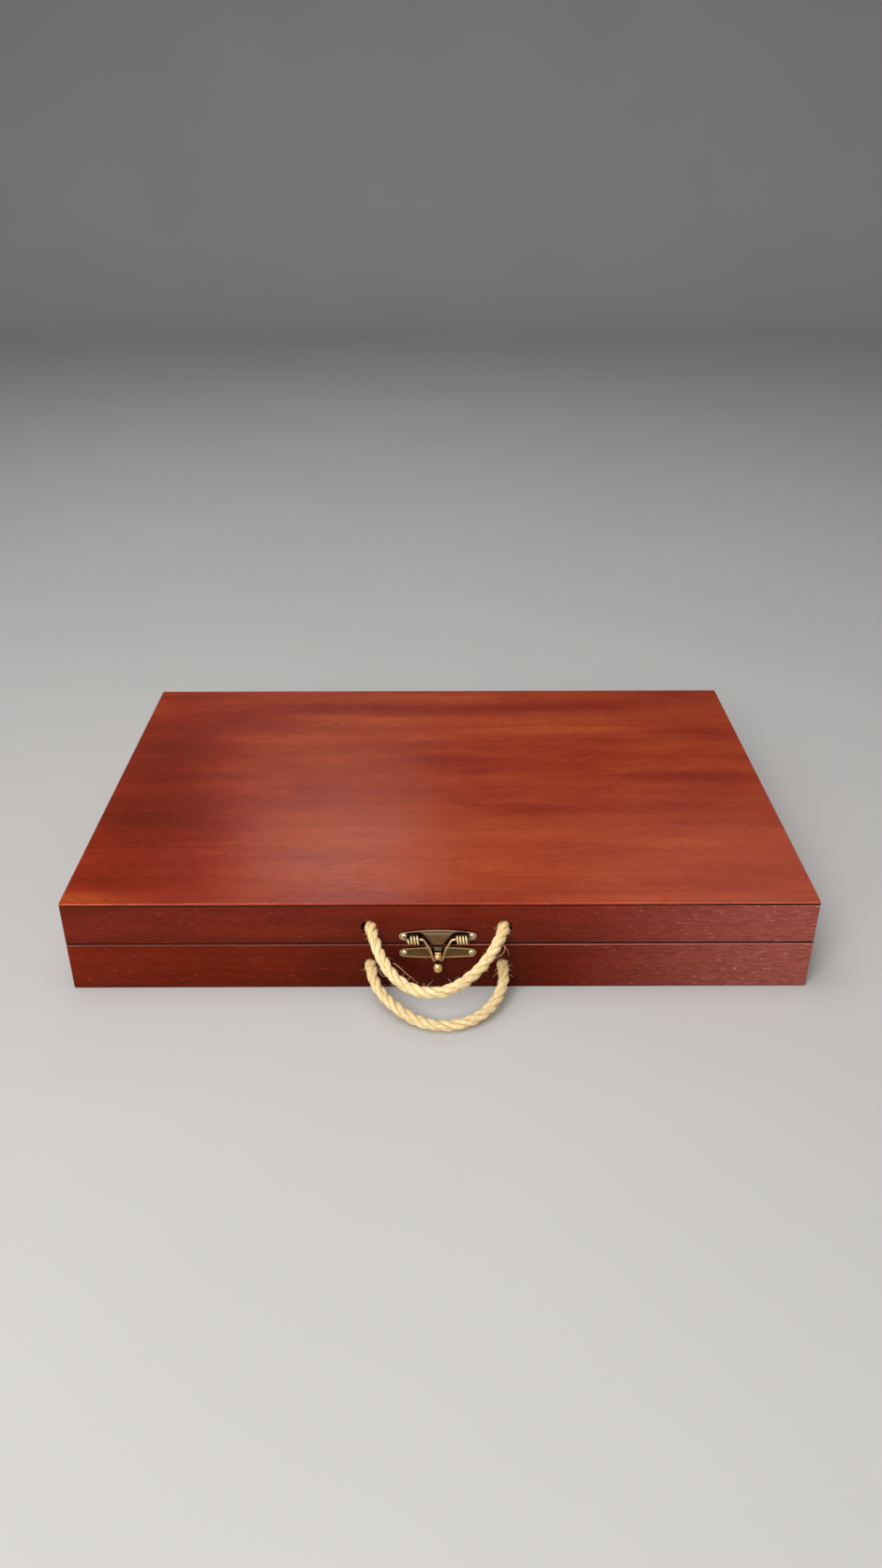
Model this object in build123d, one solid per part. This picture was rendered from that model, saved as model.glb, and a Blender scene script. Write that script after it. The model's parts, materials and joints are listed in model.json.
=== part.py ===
from build123d import *
import math
import os

# A game carrying case, closed and lying on its base. X runs along the case, -Y is its front and
# +Z is up, with the origin at the middle of the base's underside. All sizes are in millimetres.

# Case
case_width = 457.2
case_depth = 304.8
base_height = 33.5
lid_height = 29.6
parting_gap = 0.4
wall_thickness = 9.5
corner_radius = 1.2
outer_arris = 0.7
parting_arris = 0.5

# Panels and linings
base_panel_thickness = 4.5
base_panel_rebate = 5.0
lid_panel_core = 3.2
lid_panel_lip = 1.3
panel_clearance = 0.1
felt_thickness = 1.0
felt_clearance = 0.5

# Butt hinges
hinge_inset = 78.6
leaf_length = 38.0
leaf_seat = 8.0
leaf_thickness = 1.0
knuckle_radius = 2.0
knuckle_count = 5
knuckle_gap = 0.3
hinge_pin_radius = 1.0
hinge_pin_head_radius = 1.6
hinge_pin_head_height = 0.6
hinge_pin_head_rounding = 0.45
running_clearance = 0.05
mortise_clearance = 0.1
hinge_screw_spacing = 24.0

# Wood screws: round heads on the latch, countersunk heads in the hinges
screw_clearance = 0.05
latch_screw_radius = 0.9
latch_screw_length = 7.0
latch_screw_head_radius = 1.6
latch_screw_head_height = 1.0
hinge_screw_radius = 1.0
hinge_screw_length = 9.0
hinge_screw_head_radius = 1.9
hinge_screw_head_depth = 0.8
screw_tip_length = 1.5
recess_width = 0.4
recess_depth = 0.4
recess_share = 0.55

# Latch plates, pressed from sheet
latch_centre_x = -1.4
plate_thickness = 0.8
rim_width = 0.6
rim_height = 0.5
plate_corner_radius = 0.35
bail_plate_lobe_x = 20.7
bail_plate_lobe_rise = 6.4
bail_plate_lobe_radius = 2.7
bail_plate_top_rise = 10.9
bail_plate_low_rise = 0.7
hood_top_half_width = 9.9
hood_low_half_width = 4.4
hood_low_rise = 1.3
hood_height = 1.7
hood_taper = 1.1
hood_bead_radius = 0.4
hook_plate_lobe_x = 20.5
hook_plate_lobe_drop = 6.1
hook_plate_lobe_radius = 2.9
hook_plate_top_drop = 2.0
hook_plate_low_drop = 9.9
hook_window_half_width = 4.2
hook_window_top_drop = 2.9
hook_window_low_drop = 9.0

# Hook: a tongue bent out of the hook plate, with a round nose under its end
tongue_half_width = 2.3
tongue_thickness = 0.9
tongue_bend_radius = 1.0
nose_radius = 2.3
nose_reach = 5.2
nose_drop = 6.1
nose_neck_radius = 1.4

# Bail: one wire whose ends turn outwards as axles, with a cast knob on its loop
axle_rise = 6.0
axle_reach = 4.2
bail_wire_radius = 0.7
ear_thickness = 0.5
ear_half_width = 2.2
axle_overhang = 0.5
shoulder_x = 8.6
waist_point = (4.8, -0.3, 5.6)
crotch_point = (2.8, -8.7, 4.9)
neck_half_width = 0.95
neck_top_drop = 10.3
neck_reach = 4.7
bail_bends = (2.4, 6.0, 1.6, 1.0)
knob_radius = 2.9
knob_half_height = 3.45
knob_drop = 14.7
knob_flat_angle = 80.0

# Coil springs on the bail's axles
spring_wire_radius = 0.45
coil_radius = 2.65
coil_pitch = 1.75
coil_whole_turns = 3
coil_bend_room = 0.7
coil_lead_in = 45.0
spring_seat_length = 0.9
spring_seat_point = (0.6, 1.5)
spring_tail_length = 3.6
spring_tail_x = 10.2
spring_tail_point = (4.5, 6.1)
coil_room = 0.5

# Rope handles. The rope lies to one side of its holes, so each of its ends has a place of its
# own. The points are the middle line of each free loop, seen square to its own plane: the
# distance along the case from the middle of the holes, and the reach from their mouths.
rope_radius = 3.3
rope_hole_radius = 4.75
rope_hole_chamfer = 0.4
rope_hole_spacing = 82.2
handle_centre_x = -2.1
lid_rope_rise = 11.8
base_rope_height = 17.0
swing_clearance = 0.4
lid_handle_sag = 21.0
floor_clearance = 0.1
lid_rope_ends = (-40.9, 42.0)
lid_handle_points = [
    (-36.5, 8.6), (-32.7, 18.2), (-27.3, 27.2), (-20.2, 35.0), (-11.3, 40.4), (-0.9, 42.4),
    (9.6, 40.4), (19.0, 34.4), (27.0, 26.4), (33.3, 17.2), (37.9, 7.8),
]
base_rope_ends = (-41.0, 41.3)
base_handle_points = [
    (-37.5, 9.0), (-32.3, 18.1), (-25.2, 26.2), (-16.8, 32.9), (-7.2, 37.7), (3.4, 39.6),
    (14.0, 38.2), (23.6, 33.6), (31.5, 26.4), (37.2, 17.6), (40.4, 8.4),
]
shortest_run_share = 0.45
knot_radius = 8.2
knot_length = 12.0
knot_shoulder = 3.0
knot_tail_length = 5.0

# Heights and places that follow from the sizes above
parting_height = base_height + parting_gap / 2
lid_low = base_height + parting_gap
case_height = lid_low + lid_height
lid_wall_top = case_height - lid_panel_lip
inner_width = case_width - 2 * wall_thickness
inner_depth = case_depth - 2 * wall_thickness
front_y = -case_depth / 2
hinge_offset = case_width / 2 - hinge_inset
hinge_axis_y = case_depth / 2 + knuckle_radius + knuckle_gap
hinge_screw_y = case_depth / 2 - leaf_seat / 2
lid_rope_height = lid_low + lid_rope_rise
pivot_reach = rope_radius + swing_clearance
notch_top_rise = axle_rise + coil_radius + spring_wire_radius - coil_room
ear_inner_x = bail_plate_lobe_x - latch_screw_head_radius - screw_clearance - ear_thickness
coil_outer_x = ear_inner_x - spring_seat_length - coil_bend_room
base_handle_reach = max(reach for x, reach in base_handle_points)
base_handle_drop = base_rope_height - rope_radius - floor_clearance
base_handle_sag = math.degrees(math.asin(base_handle_drop / base_handle_reach))

# The latch is drawn lying on its back: x along the case, y up from the parting, z out of the front
latch_place = Plane(
    origin=(latch_centre_x, front_y, parting_height), x_dir=(1, 0, 0), z_dir=(0, -1, 0)
)


def on_front(shape):
    return latch_place.location * shape


def both_sides(shape):
    return shape + mirror(shape, about=Plane.YZ)


def tube(path, radius):
    section = Plane(origin=path @ 0, z_dir=path % 0) * Circle(radius)
    return sweep(section, path=path)


# Wooden trays


def tray_frame(low, high, low_arris, high_arris):
    """Four walls in one, with eased outer corners and arrises."""
    block = extrude(Pos(0, 0, low) * RectangleRounded(case_width, case_depth, corner_radius), high - low)
    if low_arris:
        block = fillet(block.faces().sort_by(Axis.Z)[0].edges(), low_arris)
    if high_arris:
        block = fillet(block.faces().sort_by(Axis.Z)[-1].edges(), high_arris)
    hollow = extrude(Pos(0, 0, low) * Rectangle(inner_width, inner_depth), high - low)
    return block - hollow


def mitred_walls(frame):
    """The frame cut along its corner mitres, as front, back, left and right walls."""
    x, y = case_width / 2, case_depth / 2
    front = Polygon((-x, -y), (x, -y), (x - y, 0), (-x + y, 0), align=None)
    left = Polygon((-x, -y), (-x + y, 0), (-x, y), align=None)
    wedges = {
        "front": front,
        "back": mirror(front, about=Plane.XZ),
        "left": left,
        "right": mirror(left, about=Plane.YZ),
    }
    return {side: frame & extrude(face, case_height) for side, face in wedges.items()}


def rope_holes(height):
    """Two holes through the front wall, with eased mouths."""
    mouth = rope_hole_radius + rope_hole_chamfer
    profile = Polyline(
        (0, 0), (mouth, 0), (rope_hole_radius, rope_hole_chamfer), (rope_hole_radius, wall_thickness),
        (0, wall_thickness), close=True,
    )
    hole = revolve(make_face(profile), Axis.Y)
    return Pos(handle_centre_x, front_y, height) * (
        Pos(-rope_hole_spacing / 2, 0, 0) * hole + Pos(rope_hole_spacing / 2, 0, 0) * hole
    )


def hinge_mortise(x, low):
    length = leaf_length + 2 * mortise_clearance
    depth = leaf_seat + mortise_clearance
    cut = Box(length, depth, leaf_thickness, align=(Align.CENTER, Align.MAX, Align.MIN))
    return Pos(x, case_depth / 2, low) * cut


def base_walls():
    frame = tray_frame(0, base_height, outer_arris, parting_arris)
    rebate = Rectangle(inner_width + 2 * base_panel_rebate, inner_depth + 2 * base_panel_rebate)
    walls = mitred_walls(frame - extrude(rebate, base_panel_thickness))
    walls["front"] -= rope_holes(base_rope_height) + on_front(both_sides(hook_plate_pilot()))
    for x in (-hinge_offset, hinge_offset):
        walls["back"] -= hinge_mortise(x, base_height - leaf_thickness) + base_hinge_screws(x, pilot=True)
    return walls


def lid_walls():
    walls = mitred_walls(tray_frame(lid_low, lid_wall_top, parting_arris, 0))
    walls["front"] -= rope_holes(lid_rope_height) + on_front(both_sides(bail_plate_pilot()))
    for x in (-hinge_offset, hinge_offset):
        walls["back"] -= hinge_mortise(x, lid_low) + lid_hinge_screws(x, pilot=True)
    return walls


def base_panel():
    """The underside, let into a rebate so that it lies flush with the walls."""
    grow = 2 * (base_panel_rebate - panel_clearance)
    return extrude(Rectangle(inner_width + grow, inner_depth + grow), base_panel_thickness)


def lid_panel():
    """The top: a core between the walls, and a thin lip that laps over them to the faces."""
    outline = RectangleRounded(case_width, case_depth, corner_radius)
    lip = extrude(Pos(0, 0, lid_wall_top) * outline, lid_panel_lip)
    lip = fillet(lip.faces().sort_by(Axis.Z)[-1].edges(), outer_arris)
    core = Rectangle(inner_width - 2 * panel_clearance, inner_depth - 2 * panel_clearance)
    return lip + extrude(Pos(0, 0, lid_wall_top - lid_panel_core) * core, lid_panel_core)


def felt(low):
    sheet = Rectangle(inner_width - 2 * felt_clearance, inner_depth - 2 * felt_clearance)
    return extrude(Pos(0, 0, low) * sheet, felt_thickness)


# Screws, drawn point down with the head's seat at z = 0


def cross_recess(head_radius, top):
    arm = Box(
        2 * recess_share * head_radius, recess_width, recess_depth,
        align=(Align.CENTER, Align.CENTER, Align.MAX),
    )
    return Pos(0, 0, top) * (arm + Rot(0, 0, 90) * arm)


def pilot_hole(radius, length):
    return Cylinder(radius + screw_clearance, length, align=(Align.CENTER, Align.CENTER, Align.MAX))


def domed_head(radius, rise):
    """A low dome standing on z = 0."""
    curve = EllipticalCenterArc((0, 0), radius, rise, start_angle=0, arc_size=90)
    flat = Polyline(curve @ 1, (0, 0), curve @ 0)
    return revolve(Plane.XZ * make_face([curve, *flat.edges()]), Axis.Z)


def latch_screw():
    """Round-headed screw with its head on the plate."""
    profile = Polyline(
        (0, 0), (0, -latch_screw_length), (latch_screw_radius, screw_tip_length - latch_screw_length),
        (latch_screw_radius, 0), close=True,
    )
    shank = revolve(Plane.XZ * make_face(profile), Axis.Z)
    head = domed_head(latch_screw_head_radius, latch_screw_head_height)
    return shank + head - cross_recess(latch_screw_head_radius, latch_screw_head_height)


def hinge_screw():
    """Countersunk screw with its head flush at z = 0."""
    profile = Polyline(
        (0, 0), (hinge_screw_head_radius, 0), (hinge_screw_radius, -hinge_screw_head_depth),
        (hinge_screw_radius, screw_tip_length - hinge_screw_length), (0, -hinge_screw_length), close=True,
    )
    solid = revolve(Plane.XZ * make_face(profile), Axis.Z)
    return solid - cross_recess(hinge_screw_head_radius, 0)


def countersink():
    """What a countersunk screw takes out of its leaf: the head's cone and a bore."""
    bore_radius = hinge_screw_radius + screw_clearance
    wide = hinge_screw_head_radius
    profile = Polyline(
        (0, 0), (wide, 0), (hinge_screw_radius, -hinge_screw_head_depth),
        (bore_radius, -hinge_screw_head_depth), (bore_radius, -leaf_thickness), (0, -leaf_thickness),
        close=True,
    )
    return revolve(Plane.XZ * make_face(profile), Axis.Z)


# Hinges


def screw_row(x, height, shape, turn):
    """Two copies of a shape along a hinge, upright or turned over."""
    places = [x - hinge_screw_spacing / 2, x + hinge_screw_spacing / 2]
    copies = [Pos(place, hinge_screw_y, height) * Rot(turn, 0, 0) * shape for place in places]
    return copies[0] + copies[1]


def base_hinge_screws(x, pilot=False):
    shape = pilot_hole(hinge_screw_radius, hinge_screw_length) if pilot else hinge_screw()
    return screw_row(x, base_height, shape, 0)


def lid_hinge_screws(x, pilot=False):
    shape = pilot_hole(hinge_screw_radius, hinge_screw_length) if pilot else hinge_screw()
    return screw_row(x, lid_low, shape, 180)


def hinge_leaf(x, first_knuckle, over):
    """A leaf let into the edge of a back wall. The lid's leaf is turned over about the pin."""
    low = base_height - leaf_thickness
    relief_y = hinge_axis_y - knuckle_radius - knuckle_gap
    inner_y = case_depth / 2 - leaf_seat
    plate = Polyline(
        (inner_y, low), (relief_y, low), (relief_y, base_height), (inner_y, base_height), close=True
    )
    leaf = extrude(Plane.YZ * make_face(plate), leaf_length / 2, both=True)
    web = Polyline(
        (relief_y, low), (hinge_axis_y, low), (hinge_axis_y, base_height), (relief_y, base_height), close=True
    )
    knuckle = make_face(web) + Pos(hinge_axis_y, parting_height) * Circle(knuckle_radius)
    knuckle -= Pos(hinge_axis_y, parting_height) * Circle(hinge_pin_radius + running_clearance)
    pitch = (leaf_length + knuckle_gap) / knuckle_count
    for number in range(first_knuckle, knuckle_count, 2):
        start = number * pitch - leaf_length / 2
        leaf += Pos(start, 0, 0) * extrude(Plane.YZ * knuckle, pitch - knuckle_gap)
    leaf -= screw_row(0, base_height, countersink(), 0)
    if over:
        leaf = mirror(leaf, about=Plane.XY.offset(parting_height))
    return Pos(x, 0, 0) * leaf


def hinge_pin(x):
    """Pin with a low rounded head at each end of the knuckles."""
    head = Cylinder(
        hinge_pin_head_radius, hinge_pin_head_height, align=(Align.CENTER, Align.CENTER, Align.MIN)
    )
    head = fillet(head.edges().sort_by(Axis.Z)[-1], hinge_pin_head_rounding)
    head = Pos(leaf_length / 2, 0, 0) * Rot(0, 90, 0) * head
    shank = Cylinder(hinge_pin_radius, leaf_length, rotation=(0, 90, 0))
    return Pos(x, hinge_axis_y, parting_height) * (shank + both_sides(head))


# Latch


def lens(lobe_x, lobe_y, lobe_radius, top, low):
    """Outline with round ends, bowed along its top and underside."""
    high, under = lobe_y + lobe_radius, lobe_y - lobe_radius
    end = lobe_x + lobe_radius
    return make_face([
        ThreePointArc((-lobe_x, high), (0, top), (lobe_x, high)),
        ThreePointArc((lobe_x, high), (end, lobe_y), (lobe_x, under)),
        ThreePointArc((lobe_x, under), (0, low), (-lobe_x, under)),
        ThreePointArc((-lobe_x, under), (-end, lobe_y), (-lobe_x, high)),
    ])


def rimmed_plate(outline):
    """Flat sheet with a narrow raised rim along its edge."""
    inside = offset(outline, amount=-rim_width)
    rim = extrude(outline - inside, plate_thickness + rim_height)
    return extrude(outline, plate_thickness) + rim


def tapered(low_points, high_points, low, high):
    return loft([
        Pos(0, 0, low) * make_face(Polyline(*low_points, close=True)),
        Pos(0, 0, high) * make_face(Polyline(*high_points, close=True)),
    ], ruled=True)


def hood(inset, low, high):
    """The pressed trapezoid between the springs, drawn in by inset for its hollow back."""
    top = notch_top_rise + rim_width - inset
    under = hood_low_rise + inset
    wide, narrow = hood_top_half_width - inset, hood_low_half_width - inset
    foot = [(-narrow, under), (narrow, under), (wide, top), (-wide, top)]
    head = [
        (-narrow + hood_taper, under + hood_taper / 2), (narrow - hood_taper, under + hood_taper / 2),
        (wide - 2 * hood_taper, top - hood_taper), (-wide + 2 * hood_taper, top - hood_taper),
    ]
    return tapered(foot, head, low, high)


def spring_notch():
    """The opening below a coil spring, as a face on the right of the plate."""
    under = bail_plate_low_rise - bail_plate_lobe_radius
    face = make_face(Polyline(
        (hood_low_half_width, under), (ear_inner_x, under), (ear_inner_x, notch_top_rise),
        (hood_top_half_width, notch_top_rise), (hood_low_half_width, hood_low_rise), close=True,
    ))
    return face


def bail_plate():
    """Upper plate, with the hood, and an ear at each end that carries the bail's axle."""
    outline = lens(
        bail_plate_lobe_x, bail_plate_lobe_rise, bail_plate_lobe_radius,
        bail_plate_top_rise, bail_plate_low_rise,
    )
    plain_middle = Rectangle(2 * ear_inner_x, 2 * notch_top_rise)
    plate = rimmed_plate(outline)
    plate -= Pos(0, 0, plate_thickness) * extrude(plain_middle, rim_height)
    plate -= extrude(both_sides(spring_notch()), plate_thickness)
    plate += hood(0, plate_thickness, plate_thickness + hood_height)
    plate -= hood(plate_thickness, 0, hood_height)
    bead_length = 2 * (hood_low_half_width - hood_bead_radius)
    bead = Cylinder(hood_bead_radius, bead_length, rotation=(0, 90, 0))
    plate += Pos(0, hood_low_rise - 2 * hood_bead_radius, plate_thickness) * bead
    ear = Rectangle(2 * ear_half_width, axle_reach, align=(Align.CENTER, Align.MIN))
    ear += Pos(0, axle_reach) * Circle(ear_half_width)
    ear -= Pos(0, axle_reach) * Circle(bail_wire_radius + running_clearance)
    ear = extrude(Plane.YZ * Pos(axle_rise, 0) * ear, ear_thickness)
    plate += both_sides(Pos(ear_inner_x, 0, 0) * ear)
    holes = Pos(bail_plate_lobe_x, bail_plate_lobe_rise, plate_thickness) * pilot_hole(
        latch_screw_radius, plate_thickness
    )
    return plate - both_sides(holes)


def hook_plate():
    """Lower plate, with a tongue bent out of its window and a round nose under the tongue's end."""
    outline = lens(
        hook_plate_lobe_x, -hook_plate_lobe_drop, hook_plate_lobe_radius,
        -hook_plate_top_drop, -hook_plate_low_drop,
    )
    plate = rimmed_plate(outline)
    window = Rectangle(
        2 * hook_window_half_width, hook_window_low_drop - hook_window_top_drop,
        align=(Align.CENTER, Align.MAX),
    )
    plate -= Pos(0, -hook_window_top_drop, 0) * extrude(window, plate_thickness)
    high = -hook_window_top_drop
    front = nose_reach + tongue_thickness / 2
    side = Polyline(
        (high + tongue_thickness / 2, 0), (high + tongue_thickness / 2, plate_thickness),
        (high, plate_thickness), (high, front), (high - tongue_thickness, front),
        (high - tongue_thickness, 0), close=True,
    )
    tongue = extrude(Plane.YZ * make_face(side), tongue_half_width, both=True)
    far_edges = tongue.edges().filter_by(Axis.Y).sort_by(Axis.Z)[-2:]
    tongue = fillet(far_edges, tongue_bend_radius)
    neck = Cylinder(
        nose_neck_radius, nose_drop + high, rotation=(90, 0, 0),
        align=(Align.CENTER, Align.CENTER, Align.MIN),
    )
    nose = Pos(0, -nose_drop, nose_reach) * Sphere(nose_radius)
    plate += tongue + Pos(0, high - tongue_thickness / 2, nose_reach) * neck + nose
    holes = Pos(hook_plate_lobe_x, -hook_plate_lobe_drop, plate_thickness) * pilot_hole(
        latch_screw_radius, plate_thickness
    )
    return plate - both_sides(holes)


def bail_plate_pilot():
    place = Pos(bail_plate_lobe_x, bail_plate_lobe_rise, plate_thickness)
    return place * pilot_hole(latch_screw_radius, latch_screw_length)


def hook_plate_pilot():
    place = Pos(hook_plate_lobe_x, -hook_plate_lobe_drop, plate_thickness)
    return place * pilot_hole(latch_screw_radius, latch_screw_length)


def bail_wire():
    """Both legs in one tube, from axle end to axle end through a turn inside the knob."""
    turn_top = -knob_drop
    diagonal = neck_half_width * math.sqrt(0.5)
    axle_end_x = ear_inner_x + ear_thickness + axle_overhang
    first = ThreePointArc(
        (0, turn_top - neck_half_width, neck_reach),
        (diagonal, turn_top - diagonal, neck_reach),
        (neck_half_width, turn_top, neck_reach),
    )
    leg = FilletPolyline(
        (neck_half_width, turn_top, neck_reach), (neck_half_width, -neck_top_drop, neck_reach),
        crotch_point, waist_point, (shoulder_x, axle_rise, axle_reach),
        (axle_end_x, axle_rise, axle_reach), radius=list(reversed(bail_bends)),
    )
    half = tube(Wire([first, *leg.edges()]), bail_wire_radius)
    return both_sides(half)


def bail_knob():
    """Egg-shaped knob cast round the wire's turn, with a small flat at each end."""
    side = EllipticalCenterArc(
        (0, 0), knob_radius, knob_half_height, start_angle=-knob_flat_angle, arc_size=2 * knob_flat_angle
    )
    low, high = side @ 0, side @ 1
    flats = Polyline(high, (0, high.Y), (0, low.Y), low)
    egg = revolve(make_face([side, *flats.edges()]), Axis.Y)
    return Pos(0, -knob_drop, neck_reach) * egg - bail_wire()


def biarc(start, start_way, end, end_way):
    """Two arcs that leave start along one direction and reach end along another."""
    start, end = Vector(*start), Vector(*end)
    start_way, end_way = Vector(*start_way).normalized(), Vector(*end_way).normalized()
    gap = end - start
    ways = start_way + end_way
    spread = 2 * (1 - start_way.dot(end_way))
    along = gap.dot(ways)
    reach = (math.sqrt(along**2 + spread * gap.dot(gap)) - along) / spread
    first_corner = start + start_way * reach
    second_corner = end - end_way * reach
    middle = (first_corner + second_corner) / 2
    return [
        TangentArc(start, middle, tangent=start_way),
        TangentArc(middle, end, tangent=second_corner - first_corner),
    ]


def coil_point(turned):
    """A point of the coil and its direction, after turning so many degrees down from its front."""
    angle = math.radians(turned)
    x = coil_outer_x - coil_pitch * turned / 360
    point = (x, axle_rise - coil_radius * math.sin(angle), axle_reach + coil_radius * math.cos(angle))
    way = (-coil_pitch / (2 * math.pi), -coil_radius * math.cos(angle), -coil_radius * math.sin(angle))
    return point, way


def spring_path():
    """From the ear's inner face round the axle, and inward across the front of the leg."""
    seat = (axle_rise + spring_seat_point[0], axle_reach + spring_seat_point[1])
    here, way = (ear_inner_x - spring_seat_length, *seat), (-1, 0, 0)
    edges = [Line((ear_inner_x, *seat), here)]
    for turned in [coil_lead_in, *range(180, 360 * coil_whole_turns + 1, 180)]:
        there, next_way = coil_point(turned)
        edges += biarc(here, way, there, next_way)
        here, way = there, next_way
    tail = (spring_tail_x, *spring_tail_point)
    edges += biarc(here, way, tail, (-1, 0, 0))
    edges.append(Line(tail, (spring_tail_x - spring_tail_length, *spring_tail_point)))
    return Wire(edges)


def least_self_gap(path, radius, steps=400):
    """The least gap between parts of a tube that are over half a turn apart along it."""
    points = [path @ (step / steps) for step in range(steps + 1)]
    apart = int(math.pi * coil_radius / path.length * steps)
    nearest = min(
        (points[i] - points[j]).length for i in range(steps + 1) for j in range(i + apart, steps + 1)
    )
    return nearest - 2 * radius


# Rope handles


def corner_radii(points):
    """Each corner's radius, as large as its two runs allow."""
    radii = []
    for before, here, after in zip(points, points[1:], points[2:]):
        first, second = Vector(*here) - Vector(*before), Vector(*after) - Vector(*here)
        half_turn = math.radians(first.get_angle(second)) / 2
        shorter = min(first.length, second.length)
        radii.append(shortest_run_share * shorter / math.tan(half_turn))
    return radii


def rope_loop(name, ends, plane_points, height, sag):
    """The free loop, from one hole mouth to the other, with round ends that turn in the mouths."""
    route = [(ends[0], 0), *plane_points, (ends[1], 0)]
    slope = math.radians(sag)
    pivot_y = front_y - pivot_reach
    points = [
        (handle_centre_x + x, pivot_y - reach * math.cos(slope), height - reach * math.sin(slope))
        for x, reach in route
    ]
    radii = corner_radii(points)
    path = FilletPolyline(*points, radius=radii)
    rope = tube(Wire(path.edges()), rope_radius)
    swept = math.pi * rope_radius**2 * path.length
    print(name, "radii", [round(radius, 1) for radius in radii])
    print(name, "length", round(path.length, 1))
    print(name, "volume to section x length", round(rope.volume / swept, 4))
    for end in (points[0], points[-1]):
        rope += Pos(*end) * Sphere(rope_radius)
    return rope


def rope_end(x, height):
    """The rope inside its hole, the stopper knot against the wall, and the knot's short tail."""
    inner = wall_thickness
    knot_end = inner + knot_length
    profile = Polyline(
        (0, 0), (rope_radius, 0), (rope_radius, inner), (knot_radius - knot_shoulder, inner),
        (knot_radius, inner + knot_shoulder), (knot_radius, knot_end - knot_shoulder),
        (rope_radius, knot_end), (rope_radius, knot_end + knot_tail_length), (0, knot_end + knot_tail_length),
        close=True,
    )
    end = revolve(make_face(profile), Axis.Y)
    rounding = knot_shoulder / 2
    circles = end.edges().filter_by(GeomType.CIRCLE)
    end = fillet([edge for edge in circles if edge.radius > knot_radius - rounding], rounding)
    return Pos(handle_centre_x + x, front_y, height) * end


# Every piece, by the name of its node


def build():
    base, lid = base_walls(), lid_walls()
    pieces = {"base_" + side + "_wall": wall for side, wall in base.items()}
    pieces |= {"lid_" + side + "_wall": wall for side, wall in lid.items()}
    pieces["base_panel"] = base_panel()
    pieces["base_felt"] = felt(base_panel_thickness)
    pieces["lid_panel"] = lid_panel()
    pieces["lid_felt"] = felt(lid_wall_top - lid_panel_core - felt_thickness)

    for side, x in (("left", -hinge_offset), ("right", hinge_offset)):
        pieces[side + "_hinge_base_leaf"] = hinge_leaf(x, 0, over=False)
        pieces[side + "_hinge_lid_leaf"] = hinge_leaf(x, 1, over=True)
        pieces[side + "_hinge_pin"] = hinge_pin(x)
    pieces["base_hinge_screws"] = base_hinge_screws(-hinge_offset) + base_hinge_screws(hinge_offset)
    pieces["lid_hinge_screws"] = lid_hinge_screws(-hinge_offset) + lid_hinge_screws(hinge_offset)

    pieces["bail_plate"] = on_front(bail_plate())
    pieces["hook_plate"] = on_front(hook_plate())
    screw = latch_screw()
    upper_screw = Pos(bail_plate_lobe_x, bail_plate_lobe_rise, plate_thickness) * screw
    lower_screw = Pos(hook_plate_lobe_x, -hook_plate_lobe_drop, plate_thickness) * screw
    pieces["bail_plate_screws"] = on_front(both_sides(upper_screw))
    pieces["hook_plate_screws"] = on_front(both_sides(lower_screw))
    pieces["bail_wire"] = on_front(bail_wire())
    pieces["bail_knob"] = on_front(bail_knob())
    path = spring_path()
    spring = tube(path, spring_wire_radius)
    print("spring least self gap", round(least_self_gap(path, spring_wire_radius), 2))
    pieces["right_bail_spring"] = on_front(spring)
    pieces["left_bail_spring"] = on_front(mirror(spring, about=Plane.YZ))

    pieces["lid_rope_handle"] = rope_loop(
        "lid handle", lid_rope_ends, lid_handle_points, lid_rope_height, lid_handle_sag
    )
    pieces["base_rope_handle"] = rope_loop(
        "base handle", base_rope_ends, base_handle_points, base_rope_height, base_handle_sag
    )
    for side, lid_x, base_x in zip(("left", "right"), lid_rope_ends, base_rope_ends):
        pieces["lid_" + side + "_rope_end"] = rope_end(lid_x, lid_rope_height)
        pieces["base_" + side + "_rope_end"] = rope_end(base_x, base_rope_height)
    return pieces


os.makedirs("parts", exist_ok=True)
for node, piece in build().items():
    export_step(piece, "parts/" + node + ".step")
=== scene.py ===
import json
import math
import random

import bmesh
import bpy
from mathutils import Euler, Matrix, Vector, noise

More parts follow.
